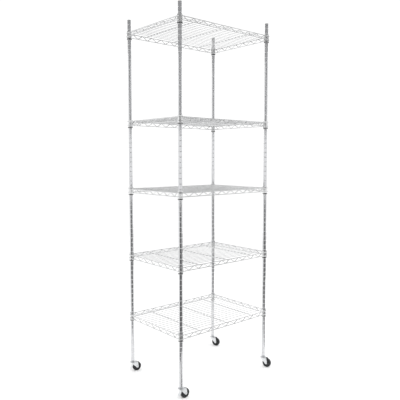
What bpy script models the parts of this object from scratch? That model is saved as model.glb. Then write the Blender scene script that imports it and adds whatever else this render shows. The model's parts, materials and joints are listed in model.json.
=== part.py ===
"""Five-tier chrome wire shelving rack on four swivel casters.

Units are metres and +Z is up.  The long side of the rack runs along X, its depth
along Y, and the floor is z = 0.  The origin is the centre of the footprint,
measured over the shelves and the casters as they stand.
"""
import math

import bmesh
import bpy
from mathutils import Matrix, Vector

# Rack
POST_PITCH_X = 0.5945        # post axis to post axis along the long side
POST_PITCH_Y = 0.4225        # post axis to post axis along the depth
CENTRE_X = -0.00435          # centre of the shelves, from the centre of the whole footprint
CENTRE_Y = 0.01462
POST_LENGTH = 1.822
POST_R = 0.0095
POST_BORE_R = 0.0083
GROOVE_PITCH = 0.0254        # the posts are grooved every inch
LOWEST_SHELF = 0.2484        # bottom shelf's collar centre above the posts' lower ends
SHELF_STEPS = (0, 13, 27, 41, 59)   # shelf heights above the bottom one, in grooves
GAP = 0.0003                 # clearance between separate pieces
ROUND_SIDES = 12             # facets on posts, sleeves and collars
SHARP = math.radians(40)     # edges steeper than this stay sharp
FLAT = math.radians(0.2)     # faces closer than this are one face
JOINED = 0.000001            # points closer than this are one point

# Shelf collars and sleeves
COLLAR_R = 0.0132
COLLAR_HEIGHT = 0.0375
SLEEVE_BORE_R = POST_R + GAP
SLEEVE_TOP_R = 0.0109
SLEEVE_BOTTOM_R = 0.0115
SLEEVE_FOOT = 0.004          # sleeve showing below the collar
SLEEVE_INSET = 0.001         # sleeve top below the collar top
SLEEVE_SLIT = 0.0015

# Shelf wires
RAIL_R = 0.0022
ZIGZAG_R = 0.00175
DECK_R = 0.0015
WELD = 0.0008                # how far a rail sinks into a collar
RAIL_SPACING = 0.0185        # lower rail centre to upper rail centre
ZIGZAG_PITCH_X = 0.0612
ZIGZAG_PITCH_Y = 0.0583
BEND_INSET = 0.0010          # zigzag bends stop this far short of the rails' centre lines
ZIGZAG_START = 0.0135        # first upper bend past the corner post's axis
ZIGZAG_END = 0.014           # last bend before the next corner post's axis
DECK_WIRES = 16
DECK_MARGIN = 0.0180         # post axis to the first deck wire
SUPPORT_PITCH = 0.1865
TRUSS_LAP = 0.0007           # a truss ends this far past the post axes
BEND_LAP = 0.0015            # how far a rail's bend runs back into the trusses
BEND_SHY = 0.00005           # keeps lapping faces from lying in one plane

# Post caps and caster sockets
CAP_R = 0.0096
CAP_HEIGHT = 0.002
PLUG_R = POST_BORE_R - GAP
CAP_PLUG_DEPTH = 0.012
SOCKET_DEPTH = 0.026
SOCKET_BORE_R = 0.0053

# Casters
CASTER_HEIGHT = 0.0613       # floor to the post's lower end
WHEEL_R = 0.0240
WHEEL_WIDTH = 0.018
WHEEL_SHOULDER_R = 0.0206    # where the tread starts to slope away
WHEEL_SHOULDER = 0.0028
WHEEL_SIDES = 20
WHEEL_SHARP = math.radians(25)
WHEEL_BORE_GAP = 0.00045
PIN_SIDES = 8                # facets on the axle and the brake pin
HUB_R = 0.0085
HUB_WIDTH = 0.0194
AXLE_R = 0.003
AXLE_HEAD_R = 0.0048
AXLE_HEAD = 0.0024
TRAIL = 0.0228               # swivel axis to wheel axle
FORK_INNER = 0.0204          # clear width between the fork legs
FORK_SHEET = 0.0018
FORK_SHY = 0.0001            # the crown stops this far inside the legs' outer faces
FORK_TIP_R = 0.0067
FORK_TIP_ARC = (220.0, 360.0)       # degrees round the axle that a leg's tip is round
FORK_TIP_STEPS = 5
FORK_NOSE_X = -0.0140        # front end of the fork's crown
FORK_CHIN = (-0.0070, -0.0068)      # corner where a leg's front edge starts, z below the crown
FORK_SHOULDER = (0.0240, -0.0008)   # rear end of the crown
FORK_HEEL = (0.0266, -0.0068)       # corner where a leg's rear edge starts
FORK_FLAT_X = 0.0090         # the crown is level from its nose to here
RACE_R = 0.0165
RACE_TOP = 0.0538            # top of the fork's lower race
RACE_HEIGHT = 0.0022
RACE_SEAT = 0.0008           # how far the lower race is pressed into the crown
UPPER_RACE_R = 0.0145
UPPER_RACE_HEIGHT = 0.0028
KINGPIN_R = 0.0040
RIVET_R = 0.0056
RIVET_TOP = 0.0024           # rivet head's upper face below the crown's top
RIVET_BOTTOM = 0.0036
STEM_R = 0.0050
STEM_SHY = 0.002             # the stem ends this far below the socket's top
NUT_R = 0.0085
BRAKE_PIN_R = 0.0016
BRAKE_PIN_X = 0.0005
BRAKE_PIN_Z = 0.0433
BRAKE_PIN_PROUD = 0.0006
BRAKE_EYE_WALL = 0.0014
BRAKE_WIDTH = 0.0160
BRAKE_SHEET = 0.0016
BRAKE_ARM = ((-0.0028, 0.0), (-0.0068, -0.0120), (-0.0150, -0.0270))   # from the pin

# Corner name: side in X, side in Y, heading the caster trails to, has a brake
CORNERS = {
    "front_left": (-1, -1, -2.0, True),
    "front_right": (1, -1, -75.0, False),
    "back_left": (-1, 1, -8.0, True),
    "back_right": (1, 1, -67.0, False),
}

# Derived places; wires drawn square have the section of the round wire
RAIL_HALF = RAIL_R * math.sqrt(math.pi) / 2
DECK_HALF = DECK_R * math.sqrt(math.pi) / 2
ZIGZAG_BAR = math.pi * ZIGZAG_R ** 2 / (2 * RAIL_HALF)
RAIL_OFFSET = COLLAR_R + RAIL_R - WELD      # post axis to the rails' centre line
POST_BOTTOM = CASTER_HEIGHT
POST_TOP = POST_BOTTOM + POST_LENGTH

# name: base colour, metallic, roughness
MATERIALS = {
    "chrome": ((0.62, 0.63, 0.61), 1.0, 0.18),
    "zinc": ((0.60, 0.62, 0.64), 1.0, 0.32),
    "black_plastic": ((0.015, 0.015, 0.016), 0.0, 0.45),
    "grey_plastic": ((0.30, 0.31, 0.30), 0.0, 0.40),
    "black_rubber": ((0.025, 0.027, 0.030), 0.0, 0.60),
}


def clear_scene():
    for obj in list(bpy.data.objects):
        bpy.data.objects.remove(obj, do_unlink=True)


def make_material(name):
    colour, metallic, roughness = MATERIALS[name]
    material = bpy.data.materials.new(name)
    material.use_nodes = True
    shader = material.node_tree.nodes["Principled BSDF"]
    shader.inputs["Base Color"].default_value = (*colour, 1.0)
    shader.inputs["Metallic"].default_value = metallic
    shader.inputs["Roughness"].default_value = roughness
    return material


def link_object(name, mesh, material=None, parent=None, location=(0, 0, 0)):
    obj = bpy.data.objects.new(name, mesh)
    bpy.context.scene.collection.objects.link(obj)
    obj.location = location
    obj.parent = parent
    if material is not None:
        mesh.materials.clear()
        mesh.materials.append(bpy.data.materials[material])
    return obj


def mesh_from(bm, name, sharp=SHARP):
    """Turn a bmesh into a closed mesh with outward faces and smooth round sides."""
    bmesh.ops.recalc_face_normals(bm, faces=bm.faces[:])
    mesh = bpy.data.meshes.new(name)
    bm.to_mesh(mesh)
    bm.free()
    mesh.shade_smooth()
    mesh.set_sharp_from_angle(angle=sharp)
    return mesh


def ring_faces(bm, rings):
    """Skin a list of equally long vertex rings, and cap both ends."""
    sides = len(rings[0])
    for lower, upper in zip(rings, rings[1:]):
        for j in range(sides):
            k = (j + 1) % sides
            bm.faces.new((lower[j], lower[k], upper[k], upper[j]))
    bm.faces.new(rings[0])
    bm.faces.new(rings[-1])


def add_wire(bm, points, radius):
    """Sweep a wire along a level path with mitred bends, square but with the round wire's area."""
    points = [Vector(p) for p in points]
    up = Vector((0, 0, 1))
    size = radius * math.sqrt(math.pi / 2)
    rights = [up.cross(b - a).normalized() for a, b in zip(points, points[1:])]
    rings = []
    for point, before, after in zip(points, rights[:1] + rights, rights + rights[-1:]):
        across = (before + after).normalized()
        stretch = 1 / across.dot(before)
        ring = []
        for k in range(4):
            angle = math.pi / 4 + math.pi / 2 * k
            offset = across * (stretch * size * math.cos(angle)) + up * (size * math.sin(angle))
            ring.append(bm.verts.new(point + offset))
        rings.append(ring)
    ring_faces(bm, rings)


def add_lathe(bm, profile, sides, start=0.0, sweep=2 * math.pi, axis="Z"):
    """Turn a closed (radius, height) outline about Z, or about Y; radius 0 is on the axis."""
    full = sweep == 2 * math.pi
    steps = sides if full else sides + 1

    def place(radius, angle, height):
        across = radius * math.cos(angle)
        along = radius * math.sin(angle)
        return (across, height, -along) if axis == "Y" else (across, along, height)

    on_axis = {k: bm.verts.new(place(0, 0, h)) for k, (r, h) in enumerate(profile) if r == 0}
    rings = []
    for i in range(steps):
        angle = start + sweep * i / sides
        rings.append([on_axis[k] if k in on_axis else bm.verts.new(place(r, angle, h))
                      for k, (r, h) in enumerate(profile)])
    count = len(profile)
    for i in range(steps if full else steps - 1):
        here = rings[i]
        there = rings[(i + 1) % steps]
        for k in range(count):
            m = (k + 1) % count
            corners = []
            for vert in (here[k], here[m], there[m], there[k]):
                if vert not in corners:
                    corners.append(vert)
            if len(corners) > 2:
                bm.faces.new(corners)
    if not full:
        bm.faces.new(rings[0])
        bm.faces.new(rings[-1])


def add_plate(bm, outline, y_low, y_high):
    """Extrude an (x, z) outline from y_low to y_high."""
    rings = [[bm.verts.new((x, y, z)) for x, z in outline] for y in (y_low, y_high)]
    ring_faces(bm, rings)


def solid(build, *args, **kwargs):
    """A temporary object holding one closed shape, as food for a Boolean."""
    bm = bmesh.new()
    build(bm, *args, **kwargs)
    return link_object("shape", mesh_from(bm, "shape"))


def combine(base, tools, operation="UNION"):
    """Join or cut the base with all the tools at once; the tools are used up."""
    group = bpy.data.collections.new("tools")
    for tool in tools:
        group.objects.link(tool)
    modifier = base.modifiers.new("join", "BOOLEAN")
    modifier.operation = operation
    modifier.solver = "EXACT"
    modifier.operand_type = "COLLECTION"
    modifier.collection = group
    graph = bpy.context.evaluated_depsgraph_get()
    mesh = bpy.data.meshes.new_from_object(base.evaluated_get(graph))
    base.modifiers.clear()
    base.data = mesh
    for tool in tools:
        bpy.data.objects.remove(tool, do_unlink=True)
    bpy.data.collections.remove(group)
    return base


def tidy_mesh(obj, name):
    """Merge the flat fragments that a Boolean leaves, and take the mesh off the object."""
    bm = bmesh.new()
    bm.from_mesh(obj.data)
    bmesh.ops.remove_doubles(bm, verts=bm.verts[:], dist=JOINED)
    bmesh.ops.dissolve_limit(bm, angle_limit=FLAT, verts=bm.verts[:], edges=bm.edges[:])
    bmesh.ops.triangulate(bm, faces=bm.faces[:])
    bpy.data.objects.remove(obj, do_unlink=True)
    return mesh_from(bm, name)


def corner_xy(corner):
    side_x, side_y = CORNERS[corner][:2]
    return CENTRE_X + side_x * POST_PITCH_X / 2, CENTRE_Y + side_y * POST_PITCH_Y / 2


# --- Shelf: one welding of collars, rails, zigzag wires, supports and deck wires ---

def bend_stations(length, pitch):
    """Distances along one side at which the zigzag bends, the first at the upper rail."""
    half = pitch / 2
    last = length - ZIGZAG_END
    count = round((last - ZIGZAG_START) / half)
    return [ZIGZAG_START + half * i for i in range(count)] + [last]


def bar_edge(start, end, side):
    """One long edge of a zigzag bar as (slope, x at height 0), shifted to that side in X."""
    slope = (end[0] - start[0]) / (end[1] - start[1])
    half_width = ZIGZAG_BAR / 2 * math.sqrt(1 + slope * slope)
    return slope, start[0] - slope * start[1] + side * half_width


def crossing(edge_a, edge_b):
    height = (edge_b[1] - edge_a[1]) / (edge_a[0] - edge_b[0])
    return edge_a[0] * height + edge_a[1], height


def at_height(edge, height):
    return edge[0] * height + edge[1], height


def truss_loops(length, pitch):
    """Outline and triangular openings of one side: two rails joined by a zigzag."""
    outer = RAIL_SPACING / 2 + RAIL_HALF
    inner = RAIL_SPACING / 2 - RAIL_HALF
    reach = RAIL_SPACING / 2 - BEND_INSET
    bends = [(x, reach if i % 2 == 0 else -reach) for i, x in enumerate(bend_stations(length, pitch))]
    bars = list(zip(bends, bends[1:]))
    left = [bar_edge(a, b, -1) for a, b in bars]
    right = [bar_edge(a, b, 1) for a, b in bars]
    loops = []
    for i in range(len(bars) - 1):
        rail = inner if bends[i + 1][1] < 0 else -inner
        apex = crossing(right[i], left[i + 1])
        loops.append([at_height(right[i], rail), at_height(left[i + 1], rail), apex])
    near = -TRUSS_LAP
    far = length + TRUSS_LAP
    outline = [(near, outer), (far, outer), (far, inner), at_height(right[-1], inner)]
    outline += [at_height(right[-1], -inner), (far, -inner), (far, -outer), (near, -outer)]
    outline += [(near, -inner), at_height(left[0], -inner), at_height(left[0], inner), (near, inner)]
    return [outline] + loops


def add_truss(bm, length, pitch, depth):
    """The truss of the side at -Y, cut through from its face to its back."""
    y = -(depth / 2 + RAIL_OFFSET)
    for loop in truss_loops(length, pitch):
        verts = [bm.verts.new((x - length / 2, y - RAIL_HALF, z)) for x, z in loop]
        for a, b in zip(verts, verts[1:] + verts[:1]):
            bm.edges.new((a, b))
    face = bmesh.ops.triangle_fill(bm, use_dissolve=False, edges=bm.edges[:])["geom"]
    front = [item for item in face if isinstance(item, bmesh.types.BMFace)]
    moved = bmesh.ops.extrude_face_region(bm, geom=front, use_keep_orig=True)["geom"]
    back = [item for item in moved if isinstance(item, bmesh.types.BMVert)]
    bmesh.ops.translate(bm, verts=back, vec=(0, 2 * RAIL_HALF, 0))


def add_rail_bend(bm, side_x, side_y, height):
    """The rail's bend outside a collar, from one side's truss to the next."""
    x = side_x * POST_PITCH_X / 2
    y = side_y * POST_PITCH_Y / 2
    far = RAIL_OFFSET
    near = RAIL_OFFSET * math.tan(math.pi / 8)
    steps = [(-BEND_LAP, far), (near, far), (far, near), (far, -BEND_LAP)]
    points = [(x + side_x * along, y + side_y * out, height) for along, out in steps]
    add_wire(bm, points, RAIL_R - BEND_SHY)


def add_collar(bm, x, y):
    half = COLLAR_HEIGHT / 2
    profile = [(SLEEVE_TOP_R + GAP, half), (SLEEVE_BOTTOM_R + GAP, -half)]
    profile += [(COLLAR_R, -half), (COLLAR_R, half)]
    add_lathe(bm, profile, ROUND_SIDES)
    bmesh.ops.translate(bm, verts=bm.verts[:], vec=(x, y, 0))


def deck_parts():
    """Deck wires along the rack, and the supports that cross under them."""
    parts = []
    deck_z = RAIL_SPACING / 2 + RAIL_HALF - DECK_HALF - BEND_SHY
    reach_x = POST_PITCH_X / 2 + RAIL_OFFSET
    span = POST_PITCH_Y - 2 * DECK_MARGIN
    for i in range(DECK_WIRES):
        y = -span / 2 + span * i / (DECK_WIRES - 1)
        ends = [(-reach_x, y, deck_z), (reach_x, y, deck_z)]
        parts.append(solid(add_wire, ends, DECK_R))
    support_z = deck_z - DECK_HALF - GAP - RAIL_HALF
    reach_y = POST_PITCH_Y / 2 + RAIL_OFFSET
    for i in (-1, 0, 1):
        x = i * SUPPORT_PITCH
        ends = [(x, -reach_y, support_z), (x, reach_y, support_z)]
        parts.append(solid(add_wire, ends, RAIL_R))
    return parts


def quarter_turn(quarter):
    """An exact quarter turn, so that flat sides stay perfectly flat."""
    cos, sin = ((1, 0), (0, 1), (-1, 0), (0, -1))[quarter]
    return Matrix(((cos, -sin, 0, 0), (sin, cos, 0, 0), (0, 0, 1, 0), (0, 0, 0, 1)))


def shelf_mesh():
    parts = deck_parts()
    for quarter in range(4):
        long_side = quarter % 2 == 0
        length = POST_PITCH_X if long_side else POST_PITCH_Y
        depth = POST_PITCH_Y if long_side else POST_PITCH_X
        pitch = ZIGZAG_PITCH_X if long_side else ZIGZAG_PITCH_Y
        side = solid(add_truss, length, pitch, depth)
        side.data.transform(quarter_turn(quarter))
        parts.append(side)
    for side_x in (-1, 1):
        for side_y in (-1, 1):
            parts.append(solid(add_collar, side_x * POST_PITCH_X / 2, side_y * POST_PITCH_Y / 2))
            for level in (-1, 1):
                parts.append(solid(add_rail_bend, side_x, side_y, level * RAIL_SPACING / 2))
    return tidy_mesh(combine(parts[0], parts[1:]), "shelf")


def shelf_heights():
    return [POST_BOTTOM + LOWEST_SHELF + step * GROOVE_PITCH for step in SHELF_STEPS]


def make_shelves():
    mesh = shelf_mesh()
    for number, height in enumerate(shelf_heights(), start=1):
        link_object(f"shelf_{number}", mesh, "chrome", location=(CENTRE_X, CENTRE_Y, height))


# --- Posts, their caps and sockets, and the sleeves that wedge the collars ---

def post_mesh():
    bm = bmesh.new()
    profile = [(POST_BORE_R, 0), (POST_R, 0), (POST_R, POST_LENGTH), (POST_BORE_R, POST_LENGTH)]
    add_lathe(bm, profile, ROUND_SIDES)
    return mesh_from(bm, "post")


def cap_mesh():
    bm = bmesh.new()
    profile = [(0, -CAP_PLUG_DEPTH), (PLUG_R, -CAP_PLUG_DEPTH), (PLUG_R, 0), (CAP_R, 0)]
    profile += [(CAP_R, CAP_HEIGHT), (0, CAP_HEIGHT)]
    add_lathe(bm, profile, ROUND_SIDES)
    return mesh_from(bm, "post_cap")


def socket_mesh():
    """Threaded insert pressed into a post's lower end."""
    bm = bmesh.new()
    profile = [(SOCKET_BORE_R, 0), (PLUG_R, 0), (PLUG_R, SOCKET_DEPTH), (SOCKET_BORE_R, SOCKET_DEPTH)]
    add_lathe(bm, profile, ROUND_SIDES)
    return mesh_from(bm, "caster_socket")


def sleeve_mesh():
    """Split sleeve that grips a post groove; its slit faces the rack's inside."""
    top = COLLAR_HEIGHT / 2 - SLEEVE_INSET
    bottom = -COLLAR_HEIGHT / 2 - SLEEVE_FOOT
    profile = [(SLEEVE_BORE_R, bottom), (SLEEVE_BOTTOM_R, bottom)]
    profile += [(SLEEVE_TOP_R, top), (SLEEVE_BORE_R, top)]
    half_slit = SLEEVE_SLIT / 2 / SLEEVE_BORE_R
    bm = bmesh.new()
    add_lathe(bm, profile, ROUND_SIDES, start=half_slit, sweep=2 * math.pi - 2 * half_slit)
    return mesh_from(bm, "sleeve")


def make_posts():
    post = post_mesh()
    cap = cap_mesh()
    socket = socket_mesh()
    sleeve = sleeve_mesh()
    for corner in CORNERS:
        x, y = corner_xy(corner)
        link_object(f"post_{corner}", post, "chrome", location=(x, y, POST_BOTTOM))
        link_object(f"post_cap_{corner}", cap, "grey_plastic", location=(x, y, POST_TOP + GAP))
        link_object(f"caster_socket_{corner}", socket, "zinc", location=(x, y, POST_BOTTOM))
        for number, height in enumerate(shelf_heights(), start=1):
            link_object(f"sleeve_{number}_{corner}", sleeve, "black_plastic", location=(x, y, height))


# --- Casters: drawn with the swivel axis on Z and the wheel trailing to +X ---

def stem_mesh():
    """Threaded stem, its nut, the upper race and the kingpin, riveted into one piece."""
    sheet_top = RACE_TOP - RACE_HEIGHT
    race_bottom = RACE_TOP + 2 * GAP
    nut_top = POST_BOTTOM - GAP
    stem_top = POST_BOTTOM + SOCKET_DEPTH - STEM_SHY
    profile = [
        (0, sheet_top - RIVET_BOTTOM),
        (RIVET_R, sheet_top - RIVET_BOTTOM),
        (RIVET_R, sheet_top - RIVET_TOP),
        (KINGPIN_R, sheet_top - RIVET_TOP),
        (KINGPIN_R, race_bottom),
        (UPPER_RACE_R, race_bottom),
        (NUT_R, race_bottom + UPPER_RACE_HEIGHT),
        (NUT_R, nut_top),
        (STEM_R, nut_top),
        (STEM_R, stem_top),
        (0, stem_top),
    ]
    bm = bmesh.new()
    add_lathe(bm, profile, ROUND_SIDES)
    return mesh_from(bm, "caster_stem")


def leg_outline():
    """Side view of a fork leg: wide under the race, narrowing to a round tip at the axle."""
    sheet_top = RACE_TOP - RACE_HEIGHT
    outline = [(FORK_FLAT_X, sheet_top), (FORK_NOSE_X, sheet_top)]
    outline += [(FORK_NOSE_X, sheet_top - 2 * FORK_SHEET), (FORK_CHIN[0], sheet_top + FORK_CHIN[1])]
    first, last = FORK_TIP_ARC
    for i in range(FORK_TIP_STEPS + 1):
        angle = math.radians(first + (last - first) * i / FORK_TIP_STEPS)
        outline.append((TRAIL + FORK_TIP_R * math.cos(angle), WHEEL_R + FORK_TIP_R * math.sin(angle)))
    outline += [(x, sheet_top + z) for x, z in (FORK_HEEL, FORK_SHOULDER)]
    return outline


def crown_outline():
    """Side view of the sheet that joins the legs over the wheel."""
    sheet_top = RACE_TOP - RACE_HEIGHT
    rear_x = FORK_SHOULDER[0]
    rear_z = sheet_top + FORK_SHOULDER[1]
    return [
        (FORK_FLAT_X, sheet_top),
        (FORK_NOSE_X, sheet_top),
        (FORK_NOSE_X, sheet_top - FORK_SHEET),
        (FORK_FLAT_X, sheet_top - FORK_SHEET),
        (rear_x, rear_z - FORK_SHEET),
        (rear_x, rear_z),
    ]


def add_pin_cutter(bm, x, z, radius):
    """A round bar across the fork, for cutting a pin's holes."""
    reach = FORK_INNER
    add_lathe(bm, [(0, -reach), (radius, -reach), (radius, reach), (0, reach)], PIN_SIDES, axis="Y")
    bmesh.ops.translate(bm, verts=bm.verts[:], vec=(x, 0, z))


def fork_mesh(braked):
    inner = FORK_INNER / 2
    outer = inner + FORK_SHEET
    sheet_top = RACE_TOP - RACE_HEIGHT
    base = solid(add_plate, crown_outline(), FORK_SHY - outer, outer - FORK_SHY)
    race_low = sheet_top - RACE_SEAT
    race = [(0, race_low), (RACE_R, race_low), (RACE_R, RACE_TOP), (0, RACE_TOP)]
    parts = [solid(add_plate, leg_outline(), -outer, -inner)]
    parts.append(solid(add_plate, leg_outline(), inner, outer))
    parts.append(solid(add_lathe, race, ROUND_SIDES))
    fork = combine(base, parts)
    hole_r = KINGPIN_R + GAP
    hole_low = sheet_top - 2 * FORK_SHEET
    hole_high = RACE_TOP + FORK_SHEET
    hole = [(0, hole_low), (hole_r, hole_low), (hole_r, hole_high), (0, hole_high)]
    cutters = [solid(add_lathe, hole, ROUND_SIDES)]
    cutters.append(solid(add_pin_cutter, TRAIL, WHEEL_R, AXLE_R + GAP))
    if braked:
        cutters.append(solid(add_pin_cutter, BRAKE_PIN_X, BRAKE_PIN_Z, BRAKE_PIN_R + GAP))
    return tidy_mesh(combine(fork, cutters, "DIFFERENCE"), "caster_fork")


def wheel_mesh():
    """Solid wheel turned about its own Y axis, with a flat between facets at the floor."""
    size = 1 / math.cos(math.pi / WHEEL_SIDES)
    bore = (AXLE_R + WHEEL_BORE_GAP) * size
    half = WHEEL_WIDTH / 2
    hub = HUB_WIDTH / 2
    shoulder = WHEEL_SHOULDER_R * size
    side = [(bore, hub), (HUB_R, hub), (shoulder, half), (WHEEL_R * size, half - WHEEL_SHOULDER)]
    profile = side + [(r, -h) for r, h in reversed(side)]
    bm = bmesh.new()
    add_lathe(bm, profile, WHEEL_SIDES, start=math.pi / WHEEL_SIDES, axis="Y")
    return mesh_from(bm, "caster_wheel", WHEEL_SHARP)


def axle_mesh():
    """Axle bolt with a head and a nut outside the fork legs."""
    grip = FORK_INNER / 2 + FORK_SHEET + GAP
    head = grip + AXLE_HEAD
    side = [(AXLE_R, grip), (AXLE_HEAD_R, grip), (AXLE_HEAD_R, head), (0, head)]
    profile = side + [(r, -h) for r, h in reversed(side)]
    bm = bmesh.new()
    add_lathe(bm, profile, PIN_SIDES, axis="Y")
    return mesh_from(bm, "caster_axle")


def brake_pin_mesh():
    reach = FORK_INNER / 2 + FORK_SHEET + BRAKE_PIN_PROUD
    bm = bmesh.new()
    profile = [(0, -reach), (BRAKE_PIN_R, -reach), (BRAKE_PIN_R, reach), (0, reach)]
    add_lathe(bm, profile, PIN_SIDES, axis="Y")
    return mesh_from(bm, "brake_pin")


def brake_mesh():
    """Pedal that hangs from its pin ahead of the wheel and ends in a toe tab."""
    half = BRAKE_WIDTH / 2
    sheet = BRAKE_SHEET
    eye = BRAKE_PIN_R + GAP + BRAKE_EYE_WALL
    top, knee, toe = BRAKE_ARM
    outline = [top, knee, toe, (toe[0] + sheet, toe[1] - sheet / 2)]
    outline += [(knee[0] + sheet, knee[1] - sheet / 4), (top[0] + sheet, 0.0)]
    base = solid(add_plate, outline, -half, half)
    barrel = solid(add_lathe, [(0, -half), (eye, -half), (eye, half), (0, half)], PIN_SIDES, axis="Y")
    pedal = combine(base, [barrel])
    cutter = solid(add_pin_cutter, 0, 0, BRAKE_PIN_R + GAP)
    return tidy_mesh(combine(pedal, [cutter], "DIFFERENCE"), "brake_pedal")


def make_casters():
    forks = {braked: fork_mesh(braked) for braked in (True, False)}
    stem = stem_mesh()
    wheel = wheel_mesh()
    axle = axle_mesh()
    pedal = brake_mesh()
    pin = brake_pin_mesh()
    axle_place = (TRAIL, 0, WHEEL_R)
    pin_place = (BRAKE_PIN_X, 0, BRAKE_PIN_Z)
    for corner, (_, _, heading, braked) in CORNERS.items():
        x, y = corner_xy(corner)
        swivel = link_object(f"swivel_{corner}", None, location=(x, y, 0))
        swivel.rotation_euler.z = math.radians(heading)
        link_object(f"caster_stem_{corner}", stem, "zinc", swivel)
        link_object(f"caster_fork_{corner}", forks[braked], "zinc", swivel)
        link_object(f"caster_axle_{corner}", axle, "zinc", swivel, axle_place)
        link_object(f"caster_wheel_{corner}", wheel, "black_rubber", swivel, axle_place)
        if braked:
            link_object(f"brake_pin_{corner}", pin, "zinc", swivel, pin_place)
            link_object(f"brake_pedal_{corner}", pedal, "zinc", swivel, pin_place)


def main():
    clear_scene()
    for name in MATERIALS:
        make_material(name)
    make_shelves()
    make_posts()
    make_casters()


main()
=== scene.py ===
import json
import math

import bmesh
import bpy
from mathutils import Matrix, Vector


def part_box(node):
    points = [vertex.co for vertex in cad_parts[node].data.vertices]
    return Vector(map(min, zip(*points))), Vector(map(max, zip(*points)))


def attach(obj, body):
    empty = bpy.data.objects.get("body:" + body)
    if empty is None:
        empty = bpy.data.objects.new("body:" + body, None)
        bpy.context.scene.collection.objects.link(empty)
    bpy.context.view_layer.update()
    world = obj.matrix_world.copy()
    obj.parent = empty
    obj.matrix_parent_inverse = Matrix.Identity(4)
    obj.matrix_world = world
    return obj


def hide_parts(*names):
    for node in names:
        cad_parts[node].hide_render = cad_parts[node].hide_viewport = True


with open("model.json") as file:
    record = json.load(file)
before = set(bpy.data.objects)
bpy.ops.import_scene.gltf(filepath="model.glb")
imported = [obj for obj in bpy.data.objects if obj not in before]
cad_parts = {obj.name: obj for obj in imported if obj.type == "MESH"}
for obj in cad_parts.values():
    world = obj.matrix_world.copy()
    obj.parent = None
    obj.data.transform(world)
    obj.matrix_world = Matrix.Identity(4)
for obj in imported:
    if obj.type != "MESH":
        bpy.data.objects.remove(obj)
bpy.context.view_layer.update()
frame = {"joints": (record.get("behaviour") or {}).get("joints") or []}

# Looks of a five-tier chrome wire rack on casters.  Metres, +Z up.

# Facets round a turned or swept form
WIRE_SIDES = 12
RAIL_SIDES = 14
ROUND_SIDES = 48             # posts, collars, caps
RACE_SIDES = 64
WHEEL_SIDES = 96
SMALL_SIDES = 32             # washers, sockets, rivets
BOLT_SIDES = 24
HAIR = 0.0001                # keeps a turned outline just off its axis

# Wires
RAIL_R = 0.0022
ZIGZAG_R = 0.00175
DECK_R = 0.0015
RAIL_SPACING = 0.0185        # lower rail centre to upper rail centre
RAIL_WELD = 0.0008           # how far a rail sinks into a collar
CROSS_WELD = 0.0005          # how far crossing wires sink into each other
ZIGZAG_PITCH_X = 0.0612
ZIGZAG_PITCH_Y = 0.0583
ZIGZAG_START = 0.0135        # first upper bend past the corner post's axis
ZIGZAG_END = 0.014           # last bend before the next corner post's axis
ZIGZAG_BEND_R = 0.0030
ZIGZAG_WELD_X = (0.0022, 0.0016)     # bead's half width along X, at the front and elsewhere
ZIGZAG_WELD_YZ = (0.0016, 0.0012)
DECK_DROP = 0.0001           # deck wires' tops lie this far below the rails' tops
DECK_END_WELD = (0.0018, 0.0017, 0.0013)
DECK_CROSS_WELD = (0.0016, 0.0018, 0.0008)
DECK_WIRES = 16
DECK_MARGIN = 0.0180         # post axis to the first deck wire
SUPPORT_PITCH = 0.1865

# Posts
GROOVE_PITCH = 0.0254
GROOVE_DEPTH = 0.0004
GROOVE_WIDTH = 0.0032
GROOVE_STATIONS = (-1.0, -0.62, -0.3, 0.0, 0.3, 0.62, 1.0)   # in half widths off its middle
GROOVE_MARGIN = 1.3          # where the plain wall starts, in half widths off its middle
POST_WALL = 0.0012
POST_END = 0.0012            # plain stretch at a post's ends
POST_END_EDGE = 0.0004       # chamfer on a post's ends
CAP_WALL = 0.0016            # post's outside to the cap's plug
CAP_RIM = 0.0008
CAP_RIBS = 3
CAP_RIB_PITCH = 0.0026

# Collars and sleeves
COLLAR_LIP = 0.0007
COLLAR_WALL = 0.0016
COLLAR_TAPER = 0.0006        # the bore's radius narrows by this much towards the top
SLEEVE_FLANGE_R = 0.0127
SLEEVE_FLANGE = 0.0037
SLEEVE_SEAM = 0.0004
SLEEVE_EDGE = 0.0006

# Casters, heights from the floor
WHEEL_R = 0.0240
TREAD_HALF = 0.0090
TREAD_SHOULDER = 0.0042
TREAD_CROWN = 4.0            # tread's drop over its squared distance from the middle, 1/m
TREAD_LINE = 0.00012         # depth of the moulding line
TYRE_BORE = 0.0172
CORE_R = 0.0173
HUB_HALF = 0.0097
HUB_BORE = 0.0033
WEB_HALF = 0.0030
RIBS = 6
RIB_START = 12               # first rib's angle, degrees
RIB_HALF = 0.0006
RIB_STATIONS = ((0.0068, 0.0082), (0.0105, 0.0064), (0.0158, 0.0066))   # radius, top
WEAR_DEPTH = 0.0030          # scuffs fade out this far below the tread
WEAR_FADE = 0.0026
FORK_INNER = 0.0204
FORK_SHEET = 0.0018
FORK_BEND_R = 0.0042
FORK_TIP_R = 0.0067
FORK_TOP = 0.0516
FORK_NOSE_R = 0.0142
FORK_CHIN = (-0.0070, 0.0448)
FORK_HEEL = (0.0266, 0.0448)
FORK_SHOULDER_X = 0.0240
FORK_CUT = 0.0075            # how far the crown's rear edge is cut back in the middle
FORK_EDGE = 0.0003           # bevel on the sheet's edges
RACE_TOP = 0.0538
NUT_R = 0.0092
STEM_R = 0.0050
THREAD_ROOT_R = 0.0044
THREAD_RISE = 0.0006         # crest to root, along the stem
THREAD_PITCH = 0.00125
KINGPIN_R = 0.0038
SOCKET_BORE = 0.0053
SOCKET_RIBS = 5
BOLT_R = 0.0029
BOLT_HEAD_R = 0.0043
BOLT_HEAD = 0.0026
WASHER_BORE = 0.0030
WASHER_R = 0.0050
WASHER = 0.0006
BRAKE_HALF_WIDTH = 0.0080
BRAKE_SHEET = 0.0016
BRAKE_EYE_R = 0.0033
BRAKE_EYE_BORE = 0.0019
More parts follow.
